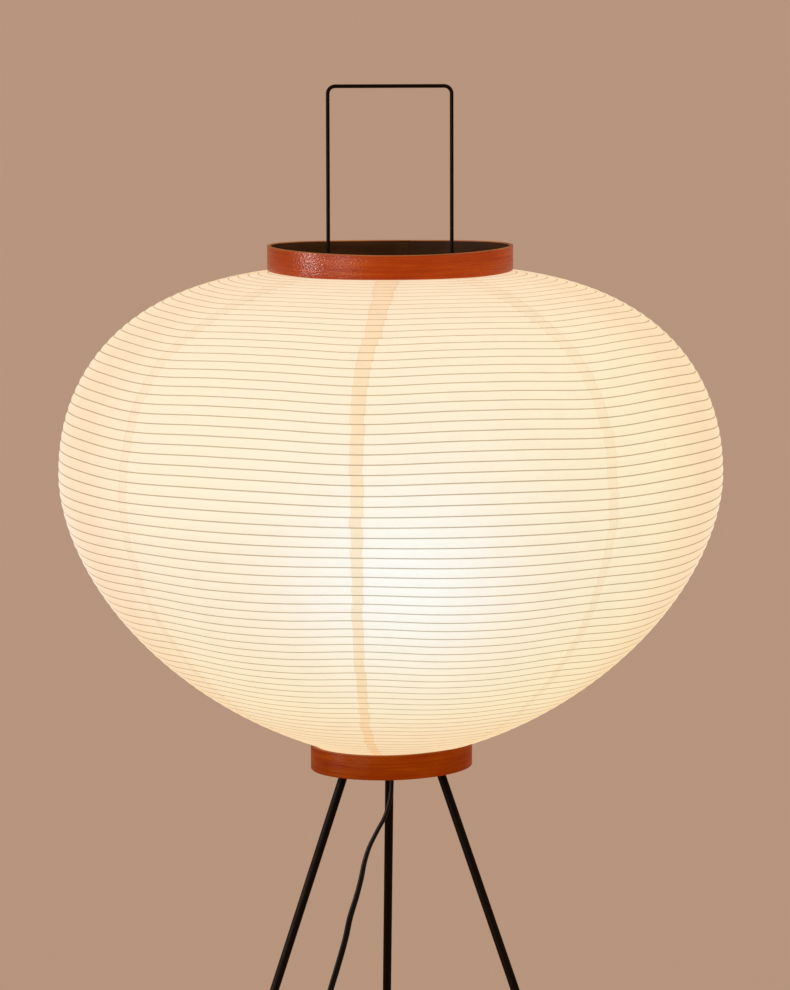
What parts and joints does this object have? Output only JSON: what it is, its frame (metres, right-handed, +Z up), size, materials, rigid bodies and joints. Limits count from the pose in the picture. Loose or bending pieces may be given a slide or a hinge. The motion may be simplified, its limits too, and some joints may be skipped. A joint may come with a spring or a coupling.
{
  "type": "paper lantern floor lamp",
  "caption": "Floor lamp with a ribbed paper lantern shade stretched between two bent-wood hoops on a wire frame with a carrying loop, on three splayed rod legs.",
  "frame": {"origin": "on the floor, at the centre of the box round the lamp without its cord", "axes": "+Z up; -Y towards the viewer, with the single leg at the back on +Y; +X to the viewer's right"},
  "size_m": [0.5392, 0.5753, 1.21],
  "materials": {
    "black_metal": "satin black lacquer",
    "zinc": "bright zinc plate",
    "brass": "satin",
    "bent_wood": "red-brown varnish, fine grain along the strip",
    "lantern_paper": "translucent handmade paper, matt",
    "bamboo": "split bamboo, matt",
    "foot_rubber": "matt",
    "cord_sheath": "matt flexible sheath",
    "black_moulding": "matt moulded plastic",
    "porcelain": "unglazed",
    "opal_glass": "opal",
    "wire_insulation": "matt"
  },
  "bodies": {
    "stand": {"leg_left": "black_metal", "leg_right": "black_metal", "leg_back": "black_metal", "foot_left": "foot_rubber", "foot_right": "foot_rubber", "foot_back": "foot_rubber", "leg_nuts": "zinc", "leg_sockets": "black_metal", "hub_plate": "black_metal", "stretcher_wire": "black_metal", "wire_nuts": "zinc", "bottom_hoop": "bent_wood", "hoop_carriers": "black_metal", "carrier_bolts": "zinc", "carrier_screws": "brass", "shade_paper": "lantern_paper", "bamboo_ribs": "bamboo", "stem_pipe": "brass", "stem_nuts": "zinc", "stem_wires": "wire_insulation", "cord_gland": "cord_sheath", "holder_base": "black_moulding", "holder_sleeve": "black_moulding", "holder_insert": "porcelain", "holder_thread": "brass", "holder_contact": "brass", "holder_grub_screw": "zinc", "cord_lead": "cord_sheath", "switch_base": "black_moulding", "switch_shell": "black_moulding", "switch_spring": "zinc", "switch_block": "porcelain", "switch_screws": "zinc", "switch_sleeves": "cord_sheath", "cord_tail": "cord_sheath", "cord_coil": "cord_sheath", "cord_tie": "black_moulding", "cord_end": "cord_sheath", "plug_body": "black_moulding", "plug_pins": "brass"},
    "top_hoop_set": {"top_hoop": "bent_wood", "hook_left": "black_metal", "hook_right": "black_metal", "hook_screws": "brass"},
    "bulb": {"bulb_glass": "opal_glass", "bulb_cap": "zinc", "bulb_insulator": "black_moulding", "bulb_contact": "zinc"},
    "button": {"switch_button": "black_moulding"}
  },
  "joints": [
    {"name": "shade_collapse", "type": "slide", "parent": "stand", "child": "top_hoop_set", "axis": [0, 0, -1], "range_m": [0, 0.33], "deforming": ["shade_paper", "bamboo_ribs"]},
    {"name": "bulb_unscrew", "type": "hinge", "parent": "stand", "child": "bulb", "pos_m": [0, -0.02268, 0.76], "axis": [0, 0, 1], "range_deg": [0, 1440]},
    {"name": "switch_press", "type": "slide", "parent": "stand", "child": "button", "axis": [0, 0, -1], "range_m": [0, 0.003], "stiffness_N_per_m": 900, "deforming": ["switch_spring"]}
  ]
}
